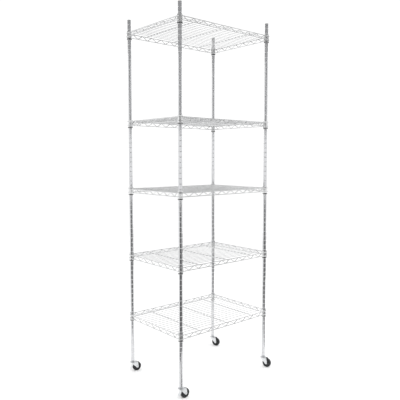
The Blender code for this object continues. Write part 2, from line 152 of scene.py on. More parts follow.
BRAKE_CORNER = 0.0045        # rounding of the toe's corners
BRAKE_BEND_R = 0.006
BRAKE_STEP = 0.0009          # usual stretch between sections
BRAKE_RIBBED = 0.012         # length of toe that has grip ribs
BRAKE_RIB = 0.0003
BRAKE_ARM = ((-0.0020, 0.0), (-0.0062, -0.0122), (-0.0144, -0.0270))   # from the pin

CORNERS = ("front_left", "front_right", "back_left", "back_right")
BRAKED = ("front_left", "back_left")
SHELVES = range(1, 6)

# Finishes.  Chrome: clean and cloudy colours, lowest and highest roughness
WIRE_CHROME = ((0.79, 0.795, 0.80), (0.71, 0.715, 0.72), 0.08, 0.18)
POST_CHROME = ((0.70, 0.705, 0.72), (0.62, 0.625, 0.64), 0.07, 0.15)
# Grooves' colour, lighter than the plating: a painted highlight for the light the grooves catch.
GROOVE_HIGHLIGHT_COLOUR = (0.88, 0.885, 0.89)
SATIN = 0.55                 # extra roughness in a groove
ZINC = (0.84, 0.855, 0.87)
ZINC_SPANGLE = (0.76, 0.775, 0.79)
ZINC_DULL = (0.66, 0.67, 0.68)
RUBBER = (0.012, 0.013, 0.015)
RUBBER_WORN = (0.055, 0.057, 0.060)
# Plastic: colour, pale colour of dust and of the edges (rubbed wear and a painted highlight),
# roughness, grain
CAP_PLASTIC = ((0.22, 0.225, 0.22), (0.32, 0.325, 0.32), (0.35, 0.5), 1500.0)
SLEEVE_PLASTIC = ((0.012, 0.012, 0.013), (0.06, 0.06, 0.06), (0.38, 0.55), 1800.0)
HUB_PLASTIC = ((0.020, 0.021, 0.023), (0.07, 0.072, 0.075), (0.35, 0.5), 1400.0)
COPY_OFFSET = 17.0           # spreads the copies of a piece through the noise

# Camera, from the front left post's lower end
CAMERA_OFFSET = Vector((-1.47109, -1.83662, 1.10556))
CAMERA_YAW = 49.11           # degrees from +X towards +Y
CAMERA_PITCH = 4.56          # degrees below the horizon
CAMERA_LENS = 44.98
CAMERA_SHIFT = (0.00125, -0.00425)

# What the chrome reflects: name, azimuths, near and far (distance, height), grey
ROOM = (
    ("wall_foot", (184.0, 264.0), (4.2, 0.0), (4.2, 0.62), 0.16),
    ("wall_foot_right", (264.0, 318.0), (4.2, 0.0), (4.2, 0.62), 0.42),
    ("wall_head", (190.0, 258.0), (4.2, 1.50), (4.2, 2.5), 0.26),
    ("wall_head_right", (258.0, 318.0), (4.2, 1.50), (4.2, 2.5), 0.62),
    ("wall_top", (95.0, 345.0), (4.2, 2.5), (3.6, 4.7), 0.36),
    ("front_floor", (214.0, 244.0), (0.38, 0.003), (1.20, 0.003), 0.38),
    ("near_floor", (182.0, 268.0), (0.80, 0.002), (4.2, 0.002), 0.12),
    ("near_floor_right", (268.0, 322.0), (0.62, 0.002), (4.2, 0.002), 0.26),
    ("side_floor", (330.0, 405.0), (2.4, 0.002), (5.2, 0.002), 0.06),
    ("ceiling", (0.0, 360.0), (2.6, 4.8), (0.01, 4.9), 0.10),
)
CARD_STEPS = 16

# Soft lights: name, place, width and height, power in watts
LIGHTS = (
    ("key", (-2.2, -3.0, 3.4), (2.4, 2.4), 60.0),
    ("fill", (3.2, -2.0, 2.6), (2.0, 2.6), 30.0),
)
LIGHT_AIM = (0, 0, 0.9)
WORLD_STRENGTH = 1.08


# --- What the frame says ---

def middle(node):
    low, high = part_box(node)
    return (low + high) / 2


def joint_place(name):
    joint = next(j for j in frame["joints"] if j["name"] == name)
    return Vector(joint["pos_m"])


def post_axis(corner):
    centre = middle(f"post_{corner}")
    return centre.x, centre.y


def swivel_matrix(corner):
    """Swivel axis on Z at the floor, with the wheel trailing to local +X."""
    x, y = post_axis(corner)
    wheel = joint_place(f"wheel_spin_{corner}")
    heading = math.atan2(wheel.y - y, wheel.x - x)
    return Matrix.Translation((x, y, 0)) @ Matrix.Rotation(heading, 4, "Z")


def axle_offset(corner):
    """Wheel axle in the swivel's own frame."""
    x, y = post_axis(corner)
    wheel = joint_place(f"wheel_spin_{corner}")
    return Vector((math.hypot(wheel.x - x, wheel.y - y), 0, wheel.z))


def brake_offset(corner):
    x, y = post_axis(corner)
    pin = joint_place(f"brake_{corner}")
    return Vector((math.hypot(pin.x - x, pin.y - y), 0, pin.z))


# --- Mesh tools ---

def skin(bm, rings, closed=False, capped=True):
    """Quads between equally long vertex rings, joined end to end or capped."""
    count = len(rings)
    sides = len(rings[0])
    for i in range(count if closed else count - 1):
        a = rings[i]
        b = rings[(i + 1) % count]
        for j in range(sides):
            k = (j + 1) % sides
            bm.faces.new((a[j], a[k], b[k], b[j]))
    if capped and not closed:
        bm.faces.new(rings[0])
        bm.faces.new(rings[-1])


def tube(bm, points, radius, sides=WIRE_SIDES, closed=False):
    """Round wire along a path of points, carried along it without twisting."""
    points = [Vector(p) for p in points]
    count = len(points)
    tangents = []
    for i, point in enumerate(points):
        before = points[i - 1] if closed or i > 0 else point
        after = points[(i + 1) % count] if closed or i < count - 1 else point
        tangents.append((after - before).normalized())
    across = tangents[0].orthogonal().normalized()
    if abs(tangents[0].z) < 0.9:
        across = tangents[0].cross(Vector((0, 0, 1))).normalized()
    rings = []
    for point, tangent in zip(points, tangents):
        across = (across - tangent * across.dot(tangent)).normalized()
        up = tangent.cross(across)
        ring = []
        for k in range(sides):
            angle = 2 * math.pi * k / sides
            out = across * math.cos(angle) + up * math.sin(angle)
            ring.append(bm.verts.new(point + out * radius))
        rings.append(ring)
    skin(bm, rings, closed)


def lathe(bm, profile, sides=ROUND_SIDES, start=0.0, sweep=2 * math.pi, centre=(0, 0, 0),
          along_y=False):
    """Turn a closed (radius, height) outline about Z, or about Y."""
    full = sweep == 2 * math.pi
    rings = []
    for i in range(sides if full else sides + 1):
        angle = start + sweep * i / sides
        cos, sin = math.cos(angle), math.sin(angle)
        ring = []
        for radius, height in profile:
            place = (radius * cos, radius * sin, height)
            if along_y:
                place = (radius * cos, height, -radius * sin)
            ring.append(bm.verts.new(Vector(place) + Vector(centre)))
        rings.append(ring)
    skin(bm, rings, full, capped=not full)


def arc(centre, radius, start, end, steps):
    """Points of an arc in a plane, angles in degrees."""
    angles = [math.radians(start + (end - start) * i / steps) for i in range(steps + 1)]
    return [(centre[0] + radius * math.cos(a), centre[1] + radius * math.sin(a)) for a in angles]


def rounded(points, radius, steps=4):
    """The same open path with its corners turned into arcs."""
    points = [Vector(p) for p in points]
    path = [points[0]]
    for before, corner, after in zip(points, points[1:], points[2:]):
        back = (before - corner).normalized()
        on = (after - corner).normalized()
        half = back.angle(on) / 2
        room = min((before - corner).length, (after - corner).length) / 2
        reach = min(radius / math.tan(half), room)
        true_radius = reach * math.tan(half)
        centre = corner + (back + on).normalized() * (true_radius / math.sin(half))
        first = (corner + back * reach - centre).normalized()
        last = (corner + on * reach - centre).normalized()
        for i in range(steps + 1):
            path.append(centre + first.slerp(last, i / steps) * true_radius)
    path.append(points[-1])
    return path


def blob(bm, centre, size, steps=8):
    """Small rounded bead of weld metal."""
    matrix = Matrix.Translation(centre) @ Matrix.Diagonal((*size, 1.0))
    rows = steps // 2 + 1
    bmesh.ops.create_uvsphere(bm, u_segments=steps, v_segments=rows, radius=1.0, matrix=matrix)


def to_mesh(bm, name, sharp=35.0):
    """Finished mesh, smooth but for edges steeper than the given angle."""
    bmesh.ops.remove_doubles(bm, verts=bm.verts[:], dist=1e-7)
    bmesh.ops.recalc_face_normals(bm, faces=bm.faces[:])
    mesh = bpy.data.meshes.new(name)
    bm.to_mesh(mesh)
    bm.free()
    mesh.shade_smooth()
    mesh.set_sharp_from_angle(angle=math.radians(sharp))
    return mesh


def piece(name, mesh, material, body, nodes=(), matrix=Matrix(), bevel=0.0):
    """A shown piece: it rides on a body and stands for the named CAD nodes."""
    if not mesh.materials:
        mesh.materials.append(material)
    turn = matrix.to_3x3().to_4x4()
    if turn != Matrix():
        mesh = mesh.copy()
        mesh.transform(turn)
    obj = bpy.data.objects.new(name, mesh)
    bpy.context.scene.collection.objects.link(obj)
    obj.location = matrix.translation
    if bevel:
        modifier = obj.modifiers.new("edges", "BEVEL")
        modifier.width = bevel
        modifier.segments = 2
        modifier.limit_method = "ANGLE"
        modifier.angle_limit = math.radians(40)
    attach(obj, body)
    if nodes:
        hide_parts(*nodes)
    return obj


# --- Materials ---

class Shader:
    """A Principled material with its procedural inputs."""

    def __init__(self, name):
        self.material = bpy.data.materials.new(name)
        self.material.use_nodes = True
        self.tree = self.material.node_tree
        self.bsdf = self.tree.nodes["Principled BSDF"]
        self.coords = self.node("ShaderNodeTexCoord")
        self.info = self.node("ShaderNodeObjectInfo")

    def node(self, kind, **settings):
        made = self.tree.nodes.new(kind)
        for key, value in settings.items():
            setattr(made, key, value)
        return made

    def link(self, source, target):
        self.tree.links.new(source, target)

    def noise(self, scale, detail=3.0, roughness=0.5, stretch=(1, 1, 1)):
        """Noise over the piece's own coordinates, different on each copy."""
        mapping = self.node("ShaderNodeMapping")
        mapping.inputs["Scale"].default_value = stretch
        self.link(self.coords.outputs["Object"], mapping.inputs["Vector"])
        texture = self.node("ShaderNodeTexNoise", noise_dimensions="4D")
        texture.inputs["Scale"].default_value = scale
        texture.inputs["Detail"].default_value = detail
        texture.inputs["Roughness"].default_value = roughness
        offset = self.node("ShaderNodeMath", operation="MULTIPLY")
        offset.inputs[1].default_value = COPY_OFFSET
        self.link(self.info.outputs["Random"], offset.inputs[0])
        self.link(mapping.outputs["Vector"], texture.inputs["Vector"])
        self.link(offset.outputs["Value"], texture.inputs["W"])
        return texture.outputs["Fac"]

    def span(self, source, low, high, from_low=0.3, from_high=0.7):
        """Map a texture's middle range to low..high."""
        made = self.node("ShaderNodeMapRange")
        made.inputs["From Min"].default_value = from_low
        made.inputs["From Max"].default_value = from_high
        made.inputs["To Min"].default_value = low
        made.inputs["To Max"].default_value = high
        self.link(source, made.inputs["Value"])
        return made.outputs["Result"]

    def mix(self, factor, first, second):
        """Colour between two colours or sockets."""
        made = self.node("ShaderNodeMix", data_type="RGBA")
        self.link(factor, made.inputs["Factor"])
        for socket, value in ((made.inputs["A"], first), (made.inputs["B"], second)):
            if isinstance(value, tuple):
                socket.default_value = (*value, 1.0)
            else:
                self.link(value, socket)
        return made.outputs["Result"]

    def edge(self, low=0.5, high=0.62):
        """1 on sharp outer edges, where rubbed wear and a painted highlight go, 0 on flat
        stretches.
        """
        geometry = self.node("ShaderNodeNewGeometry")
        return self.span(geometry.outputs["Pointiness"], 0.0, 1.0, low, high)

    def bump(self, heights):
        """Stack (socket, strength, distance) bumps into the normal."""
        below = None
        for socket, strength, distance in heights:
            made = self.node("ShaderNodeBump")
            made.inputs["Strength"].default_value = strength
            made.inputs["Distance"].default_value = distance
            self.link(socket, made.inputs["Height"])
            if below is not None:
                self.link(below, made.inputs["Normal"])
            below = made.outputs["Normal"]
        self.link(below, self.bsdf.inputs["Normal"])

    def set(self, **values):
        for key, value in values.items():
            self.bsdf.inputs[key.replace("_", " ")].default_value = value


def attribute(shader, name):
    """A value stored on the mesh's vertices, 0 where there is none."""
    made = shader.node("ShaderNodeAttribute", attribute_name=name)
    return made.outputs["Fac"]


def chrome(name, clean, cloudy, rough_low, rough_high):
    """Bright plating: faint clouding, a slightly uneven surface and satin grooves, painted
    lighter as a highlight.
    """
    shader = Shader(name)
    shader.set(Metallic=1.0)
    cloud = shader.span(shader.noise(38.0, detail=4.0), 0.0, 1.0)
    base = shader.mix(cloud, clean, cloudy)
    fine = shader.noise(900.0, detail=2.0)
    wave = shader.noise(95.0, detail=2.0)
    grooved = attribute(shader, "groove")
    rough = shader.node("ShaderNodeMath", operation="MULTIPLY_ADD")
    rough.inputs[1].default_value = SATIN
    shader.link(grooved, rough.inputs[0])
    shader.link(shader.span(shader.noise(160.0), rough_low, rough_high), rough.inputs[2])
    # Painted highlight: the grooves take the lighter colour.
    base = shader.mix(grooved, base, GROOVE_HIGHLIGHT_COLOUR)
    shader.link(base, shader.bsdf.inputs["Base Color"])
    shader.link(rough.outputs["Value"], shader.bsdf.inputs["Roughness"])
    shader.bump([(wave, 0.04, 0.0003), (fine, 0.03, 0.00005)])
    return shader.material


def zinc(name):
    """Bright zinc on pressed steel: soft spangle, rolling lines and dull patches."""
    shader = Shader(name)
    shader.set(Metallic=1.0)
    spangle = shader.node("ShaderNodeTexVoronoi")
    spangle.inputs["Scale"].default_value = 260.0
    shader.link(shader.coords.outputs["Object"], spangle.inputs["Vector"])
    patch = shader.span(spangle.outputs["Distance"], 0.0, 1.0, 0.0, 0.9)
    base = shader.mix(patch, ZINC, ZINC_SPANGLE)
    dull = shader.span(shader.noise(70.0, detail=5.0), 0.0, 0.6)
    base = shader.mix(dull, base, ZINC_DULL)
    lines = shader.noise(500.0, detail=2.0, stretch=(1, 1, 12))
    shader.link(base, shader.bsdf.inputs["Base Color"])
    shader.link(shader.span(shader.noise(210.0), 0.26, 0.42), shader.bsdf.inputs["Roughness"])
    shader.bump([(lines, 0.08, 0.0001), (shader.noise(120.0), 0.15, 0.0003)])
    return shader.material


def plastic(name, colour, dust_wear_and_sheen, roughness, grain):
    """Moulded plastic: fine grain, slight dust, and pale edges that are partly rubbed wear and
    partly a painted highlight.
    """
    shader = Shader(name)
    dust = shader.span(shader.noise(120.0, detail=5.0), 0.0, 0.35, 0.45, 0.75)
    base = shader.mix(dust, colour, dust_wear_and_sheen)
    # Pale sharp edges: partly rubbed wear, partly a painted highlight.
    base = shader.mix(shader.edge(), base, dust_wear_and_sheen)
    shader.link(base, shader.bsdf.inputs["Base Color"])
    shader.link(shader.span(shader.noise(300.0), *roughness), shader.bsdf.inputs["Roughness"])
    shader.bump([(shader.noise(grain, detail=1.0), 0.18, 0.0001)])
    return shader.material


def rubber(name):
    """Satin black tyre, greyer where it has rolled."""
    shader = Shader(name)
    worn = attribute(shader, "tread")
    scuff = shader.span(shader.noise(150.0, detail=6.0, roughness=0.65), 0.15, 1.0)
    amount = shader.node("ShaderNodeMath", operation="MULTIPLY")
    shader.link(worn, amount.inputs[0])
    shader.link(scuff, amount.inputs[1])
    base = shader.mix(amount.outputs["Value"], RUBBER, RUBBER_WORN)
    shader.link(base, shader.bsdf.inputs["Base Color"])
    shader.link(shader.span(shader.noise(260.0), 0.48, 0.68), shader.bsdf.inputs["Roughness"])
    shader.set(Specular_IOR_Level=0.3)
    grain = shader.noise(700.0, detail=2.0)
    shader.bump([(grain, 0.12, 0.0001), (shader.noise(90.0), 0.10, 0.0004)])
    return shader.material


# --- Posts ---

def groove_outline(height, radius):
    """One rounded ring groove in the post's outline, from below to above."""
    half = GROOVE_WIDTH / 2
    points = [(radius, height - GROOVE_MARGIN * half)]
    for s in GROOVE_STATIONS:
        sunk = GROOVE_DEPTH * (0.5 + 0.5 * math.cos(math.pi * s))
        points.append((radius - sunk, height + s * half))
    points.append((radius, height + GROOVE_MARGIN * half))
    return points


def post_mesh(radius, length, first_groove):
    """Tube with a ring groove every inch, marked where it is grooved for the grooves' satin
    roughness and painted highlight.
    """
    inside = radius - POST_WALL
    edge = POST_END_EDGE
    outline = [(inside, 0.0005), (radius - edge, 0.0), (radius, edge), (radius, POST_END)]
    count = int((length - first_groove - GROOVE_WIDTH) / GROOVE_PITCH) + 1
    for i in range(count):
        outline += groove_outline(first_groove + i * GROOVE_PITCH, radius)
    outline += [(radius, length - POST_END), (radius, length - edge), (radius - edge, length)]
    outline.append((inside, length - 0.0005))
    bm = bmesh.new()
    lathe(bm, outline)
    mesh = to_mesh(bm, "post_tube", sharp=60.0)
    in_groove = mesh.attributes.new("groove", "FLOAT", "POINT")
    for vert, item in zip(mesh.vertices, in_groove.data):
        sunk = (radius - math.hypot(vert.co.x, vert.co.y)) / GROOVE_DEPTH
        item.value = min(2.0 * sunk, 1.0) if 0.0 < sunk < 1.1 else 0.0
    return mesh


def make_posts(material):
    low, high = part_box("post_front_left")
    radius = (high.x - low.x) / 2
    first_groove = (middle("shelf_1").z - low.z) % GROOVE_PITCH
    mesh = post_mesh(radius, high.z - low.z, first_groove)
    for corner in CORNERS:
        x, y = post_axis(corner)
        piece(f"post_tube_{corner}", mesh, material, "rack", [f"post_{corner}"],
              Matrix.Translation((x, y, low.z)))


def cap_mesh(radius, height, depth):
    """Push-in cap: a plug with grip rings, and a flat top with a rounded rim."""
    plug = radius - CAP_WALL
    outline = [(HAIR, -depth), (plug - 0.0008, -depth), (plug, 0.0012 - depth)]
    for i in range(CAP_RIBS):
        z = -depth + 0.003 + CAP_RIB_PITCH * i
        outline += [(plug, z), (plug - 0.0004, z + 0.0007), (plug, z + 0.0014)]
    outline += [(plug, 0.0), (radius, 0.0)]
    outline += arc((radius - CAP_RIM, height - CAP_RIM), CAP_RIM, 0, 90, 5)
    outline += [(radius - 0.0030, height), (HAIR, height)]
    bm = bmesh.new()
    lathe(bm, outline)
    return to_mesh(bm, "cap", sharp=50.0)


def make_caps(material):
    low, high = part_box("post_cap_front_left")
    post_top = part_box("post_front_left")[1].z
    bottom = post_top + 0.0001
    mesh = cap_mesh((high.x - low.x) / 2, high.z - bottom, bottom - low.z)
    for corner in CORNERS:
        x, y = post_axis(corner)
        piece(f"cap_{corner}", mesh, material, "rack", [f"post_cap_{corner}"],
              Matrix.Translation((x, y, bottom)))


# --- Shelves, drawn about their own centre ---

def rail_path(half_x, half_y, offset, height, steps=10):
    """Rounded rectangle round the four post axes."""
    path = []
    for i, (side_x, side_y) in enumerate(((1, -1), (1, 1), (-1, 1), (-1, -1))):
        centre = (side_x * half_x, side_y * half_y)
        start = -90 + 90 * i
        path += [(x, y, height) for x, y in arc(centre, offset, start, start + 90, steps)]
    return path


def bend_stations(length, pitch):
    """Distances of the zigzag's bends from the first post's axis."""
    half = pitch / 2
    last = length - ZIGZAG_END
    count = round((last - ZIGZAG_START) / half)
    return [ZIGZAG_START + half * i for i in range(count)] + [last]


def add_zigzag(bm, quarter, half_x, half_y, offset):
    """Zigzag wire of one side, against the inner faces of that side's rails."""
    long_side = quarter % 2 == 0
    length = 2 * (half_x if long_side else half_y)
    depth = half_y if long_side else half_x
    pitch = ZIGZAG_PITCH_X if long_side else ZIGZAG_PITCH_Y
    inset = depth + offset - (RAIL_R + ZIGZAG_R - CROSS_WELD)
    height = RAIL_SPACING / 2
    turn = Matrix.Rotation(math.pi / 2 * quarter, 4, "Z")
    bends = []
    for i, x in enumerate(bend_stations(length, pitch)):
        level = height if i % 2 == 0 else -height
        bends.append(turn @ Vector((x - length / 2, -inset, level)))
    tube(bm, rounded(bends, ZIGZAG_BEND_R), ZIGZAG_R)
    out = turn @ Vector((0, -1, 0))
    size = (ZIGZAG_WELD_X[0 if out.x == 0 else 1], *ZIGZAG_WELD_YZ)
    for bend in bends:
        blob(bm, bend + out * (ZIGZAG_R * 0.9), size)


def add_collar(bm, x, y, radius, half):
    """Formed steel collar with rolled edges and a tapered bore."""
    lip = COLLAR_LIP
    bore = radius - COLLAR_WALL
    waist = radius - 0.00025
    outline = arc((radius - lip, half - lip), lip, 90, 0, 4)
    outline += [(waist, half - 0.0040), (radius - 0.00035, 0.0), (waist, 0.0040 - half)]
    outline += arc((radius - lip, lip - half), lip, 0, -90, 4)
    outline += [(bore, -half), (bore - COLLAR_TAPER, half)]
    lathe(bm, outline[::-1], centre=(x, y, 0))


def add_deck(bm, half_x, half_y, offset):
    """Lengthwise wires over three cross supports, with their welds."""
    deck_z = RAIL_SPACING / 2 + RAIL_R - DECK_R - DECK_DROP
    span = 2 * (half_y - DECK_MARGIN)
    reach = half_x + offset
    rows = [-span / 2 + span * i / (DECK_WIRES - 1) for i in range(DECK_WIRES)]
    for y in rows:
        tube(bm, [(x, y, deck_z) for x in (-reach, -reach / 3, reach / 3, reach)], DECK_R)
        for side in (-1, 1):
            blob(bm, (side * (reach - RAIL_R), y, deck_z), DECK_END_WELD)
    support_z = deck_z - DECK_R - RAIL_R + CROSS_WELD
    reach = half_y + offset
    for i in (-1, 0, 1):
        x = i * SUPPORT_PITCH
        tube(bm, [(x, y, support_z) for y in (-reach, 0, reach)], RAIL_R, RAIL_SIDES)
        for y in rows:
            blob(bm, (x, y, deck_z - DECK_R), DECK_CROSS_WELD)


def shelf_mesh(half_x, half_y, wall, collar_half):
    """One welded shelf; wall is from a post's axis to the rails' outer face."""
    bm = bmesh.new()
    offset = wall - RAIL_R
    collar_r = offset - RAIL_R + RAIL_WELD
    for level in (-1, 1):
        path = rail_path(half_x, half_y, offset, level * RAIL_SPACING / 2)
        tube(bm, path, RAIL_R, RAIL_SIDES, closed=True)
    for quarter in range(4):
        add_zigzag(bm, quarter, half_x, half_y, offset)
    add_deck(bm, half_x, half_y, offset)
    for side_x in (-1, 1):
        for side_y in (-1, 1):
            add_collar(bm, side_x * half_x, side_y * half_y, collar_r, collar_half)
    return to_mesh(bm, "shelf_wires", sharp=60.0)


def make_shelves(material):
    front_left = Vector(post_axis("front_left"))
    back_right = Vector(post_axis("back_right"))
    half = (back_right - front_left) / 2
    low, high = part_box("shelf_1")
    wall = (high.x - low.x) / 2 - half.x
    mesh = shelf_mesh(half.x, half.y, wall, (high.z - low.z) / 2)
    for number in SHELVES:
        centre = middle(f"shelf_{number}")
        piece(f"shelf_{number}_wires", mesh, material, "rack", [f"shelf_{number}"],
              Matrix.Translation(centre))


# --- Sleeves ---

def sleeve_mesh(bore, top, bottom):
    """Two plastic half rings, wedge-shaped, with a flange under the collar."""
    flange_top = bottom + SLEEVE_FLANGE
    r = SLEEVE_EDGE
    outline = [(bore, bottom + 0.0003), (bore + 0.0003, bottom)]
    outline += arc((SLEEVE_FLANGE_R - r, bottom + r), r, -90, 0, 4)
    outline += arc((SLEEVE_FLANGE_R - r, flange_top - r), r, 0, 90, 4)
    outline += [(bore + 0.0016, flange_top), (bore + 0.0010, top - 0.0003)]
    outline += [(bore + 0.0007, top), (bore, top)]
    bm = bmesh.new()
    gap = SLEEVE_SEAM / 2 / SLEEVE_FLANGE_R
    for half in (0, 1):
        start = math.pi / 4 + math.pi * half + gap
        lathe(bm, outline, ROUND_SIDES // 2, start, math.pi - 2 * gap)
    return to_mesh(bm, "sleeve", sharp=50.0)


def make_sleeves(material):
    low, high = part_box("sleeve_1_front_left")
    centre = middle("shelf_1").z
    post_low, post_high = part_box("post_front_left")
    bore = (post_high.x - post_low.x) / 2 + 0.0001
    mesh = sleeve_mesh(bore, high.z - centre, low.z - centre)
    for corner in CORNERS:
        x, y = post_axis(corner)
        for number in SHELVES:
            place = Matrix.Translation((x, y, middle(f"shelf_{number}").z))
            piece(f"sleeve_halves_{number}_{corner}", mesh, material, "rack",
                  [f"sleeve_{number}_{corner}"], place)


# --- Casters, drawn about the swivel axis with the wheel trailing to +X ---

def tangent_angle(centre, radius, point, side):
    """Angle on a circle where the line from a point touches it."""
    dx, dz = point[0] - centre[0], point[1] - centre[1]
    return math.atan2(dz, dx) + side * math.acos(radius / math.hypot(dx, dz))


def tangent_point(centre, radius, point, side):
    """Where the line from a point touches a circle."""
    angle = tangent_angle(centre, radius, point, side)
    return centre[0] + radius * math.cos(angle), centre[1] + radius * math.sin(angle)


def line_x(z, points, below):
    """x of a rising chain of points at height z, or the given value below its start."""
    if z <= points[0][1]:
        return below
    for (x0, z0), (x1, z1) in zip(points, points[1:]):
        if z <= z1 + 1e-9:
            return x0 + (x1 - x0) * (z - z0) / (z1 - z0)
    return points[-1][0]


def leg_reach(z, axle):
    """Front and rear edge of a fork leg at height z."""
    tip = (axle.x, axle.z)
    front_start = tangent_point(tip, FORK_TIP_R, FORK_CHIN, 1)
    rear_start = tangent_point(tip, FORK_TIP_R, FORK_HEEL, -1)
    half = math.sqrt(max(FORK_TIP_R ** 2 - (z - axle.z) ** 2, 1e-9))
    bend_y = FORK_INNER / 2 + FORK_SHEET - FORK_BEND_R
    nose = (-math.sqrt(FORK_NOSE_R ** 2 - bend_y ** 2), FORK_TOP)
    front = line_x(z, [front_start, FORK_CHIN, nose], axle.x - half)
    rear = line_x(z, [rear_start, FORK_HEEL, (FORK_SHOULDER_X, FORK_TOP)], axle.x + half)
    return front, rear


def fork_sections(axle, steps=8, bend_steps=6):
    """Outer skin of half the fork, up a leg and over the crown to the middle.

    Each section is y, z, the skin's normal in y and z, front x and rear x.
    """
    outer = FORK_INNER / 2 + FORK_SHEET
    bend_z = FORK_TOP - FORK_BEND_R
    bend_y = outer - FORK_BEND_R
    heights = [axle.z - FORK_TIP_R * math.cos(math.radians(a)) for a in range(3, 93, 10)]
    heights += [heights[-1] + (bend_z - heights[-1]) * i / steps for i in range(1, steps + 1)]
    sections = [(outer, z, 1.0, 0.0, *leg_reach(z, axle)) for z in heights]
    for i in range(1, bend_steps + 1):
        angle = math.pi / 2 * i / bend_steps
        z = bend_z + FORK_BEND_R * math.sin(angle)
        y = bend_y + FORK_BEND_R * math.cos(angle)
        sections.append((y, z, math.cos(angle), math.sin(angle), *leg_reach(z, axle)))
    for i in range(1, steps + 1):
        y = bend_y * (1 - i / steps)
        front = -math.sqrt(FORK_NOSE_R ** 2 - y * y)
        rear = FORK_SHOULDER_X - FORK_CUT * math.sqrt(max(1 - (y / bend_y) ** 2, 0))
        sections.append((y, FORK_TOP, 0.0, 1.0, front, rear))
    return sections


def add_fork_sheet(bm, axle, columns=12):
    """Pressed sheet from one leg's tip, over the crown, to the other leg's tip."""
    half = fork_sections(axle)
    sections = half + [(-y, z, -ny, nz, f, r) for y, z, ny, nz, f, r in half[-2::-1]]
    rings = []
    for y, z, ny, nz, front, rear in sections:
        xs = [front + (rear - front) * i / columns for i in range(columns + 1)]
        outside = [bm.verts.new((x, y, z)) for x in xs]
        inside = [bm.verts.new((x, y - ny * FORK_SHEET, z - nz * FORK_SHEET)) for x in xs]
        rings.append(outside + inside[::-1])
    skin(bm, rings)


def add_race(bm):
    """Lower race pressed on the crown, with a rolled rim round the balls."""
    crown, top = FORK_TOP, RACE_TOP
    outline = [(0.0045, crown - 0.0004), (0.0152, crown - 0.0004), (0.0161, crown)]
    outline += [(0.0163, crown + 0.0003), (0.0157, top - 0.0004), (0.0153, top)]
    outline += [(0.0149, top - 0.0002), (0.0144, top - 0.0010), (0.0045, top - 0.0010)]
    lathe(bm, outline, RACE_SIDES)


def fork_mesh(axle):
    """Fork with its lower race, and a raised ring round each axle hole."""
    bm = bmesh.new()
    add_fork_sheet(bm, axle)
    add_race(bm)
    for side in (-1, 1):
        y = side * (FORK_INNER / 2 + FORK_SHEET)
        sunk, proud = y - side * 0.0004, y + side * 0.0003
        ring = [(0.0052, sunk), (0.0058, sunk), (0.0054, proud), (0.0048, proud)]
        lathe(bm, ring[::side], SMALL_SIDES, centre=(axle.x, 0, axle.z), along_y=True)
    return to_mesh(bm, "fork", sharp=40.0)


def hexagon(bm, radius, low, high, centre=(0, 0, 0), along_y=False):
    """Hex nut or bolt head with chamfered corners."""
    chamfer = (high - low) * 0.16
    inner = radius * 0.90
    outline = [(HAIR, low), (inner, low), (radius, low + chamfer), (radius, high - chamfer)]
    outline += [(inner, high), (HAIR, high)]
    lathe(bm, outline, sides=6, centre=centre, along_y=along_y)


def stem_mesh(post_bottom, stem_top):
    """Dished upper race, lock nut, threaded stem and the kingpin's rivet head."""
    bm = bmesh.new()
    low = RACE_TOP + 0.0002
    dish = [(0.0035, low), (0.0141, low), (0.0144, low + 0.0003)]
    dish += arc((0.0132, low + 0.0018), 0.0005, 20, 80, 4)
    dish += [(0.0098, low + 0.0030), (0.0035, low + 0.0032)]
    lathe(bm, dish, RACE_SIDES)
    hexagon(bm, NUT_R, low + 0.0029, post_bottom - 0.0002)
    thread = [(HAIR, post_bottom - 0.001), (0.0048, post_bottom - 0.001)]
    turns = int((stem_top - post_bottom) / THREAD_PITCH) - 1
    for i in range(turns):
        z = post_bottom + i * THREAD_PITCH
        thread += [(STEM_R, z), (THREAD_ROOT_R, z + THREAD_RISE)]
    thread += [(0.0042, stem_top), (HAIR, stem_top)]
    lathe(bm, thread, BOLT_SIDES)
    rivet_low = FORK_TOP - 0.0036
    rivet_top = FORK_TOP - 0.0019
    pin = [(HAIR, rivet_low)] + arc((0.0044, rivet_low + 0.0012), 0.0012, -90, 0, 4)
    pin += [(0.0056, rivet_top), (KINGPIN_R, rivet_top), (KINGPIN_R, low + 0.001)]
    pin.append((HAIR, low + 0.001))
    lathe(bm, pin, SMALL_SIDES)
    return to_mesh(bm, "stem", sharp=35.0)


def socket_mesh(bore, radius, depth):
    """Ribbed insert held in the post's lower end."""
    outline = [(bore, 0.0002), (radius, 0.0002)]
    for i in range(SOCKET_RIBS):
        z = 0.002 + i * (depth - 0.004) / SOCKET_RIBS
        outline += [(radius, z), (radius - 0.0003, z + 0.0008), (radius, z + 0.0016)]
    outline += [(radius, depth - 0.0004), (bore, depth - 0.0004)]
    bm = bmesh.new()
    lathe(bm, outline, SMALL_SIDES)
    return to_mesh(bm, "socket", sharp=50.0)


def tread_mesh():
    """Tyre with a crowned tread, round shoulders and a moulding line."""
    bead = TYRE_BORE + 0.0008
    shoulder = TREAD_SHOULDER
    middle_r = WHEEL_R - 0.0002 - shoulder
    outline = [(TYRE_BORE, -TREAD_HALF + 0.0006), (bead, -TREAD_HALF)]
    outline += arc((middle_r, shoulder - TREAD_HALF), shoulder, -90, -8, 7)
    for y in (-0.0030, -0.0008, -0.0003, 0.0003, 0.0008, 0.0030):
        line = TREAD_LINE if abs(y) < 0.0005 else 0.0
        outline.append((WHEEL_R - 0.0001 - TREAD_CROWN * y * y - line, y))
    outline += arc((middle_r, TREAD_HALF - shoulder), shoulder, 8, 90, 7)
    outline += [(bead, TREAD_HALF), (TYRE_BORE, TREAD_HALF - 0.0006)]
    bm = bmesh.new()
    lathe(bm, outline, WHEEL_SIDES, along_y=True)
    mesh = to_mesh(bm, "tread", sharp=45.0)
    worn = mesh.attributes.new("tread", "FLOAT", "POINT")
    for vert, item in zip(mesh.vertices, worn.data):
        distance = math.hypot(vert.co.x, vert.co.z)
        item.value = min(max((distance - WHEEL_R + WEAR_DEPTH) / WEAR_FADE, 0.0), 1.0)
    return mesh


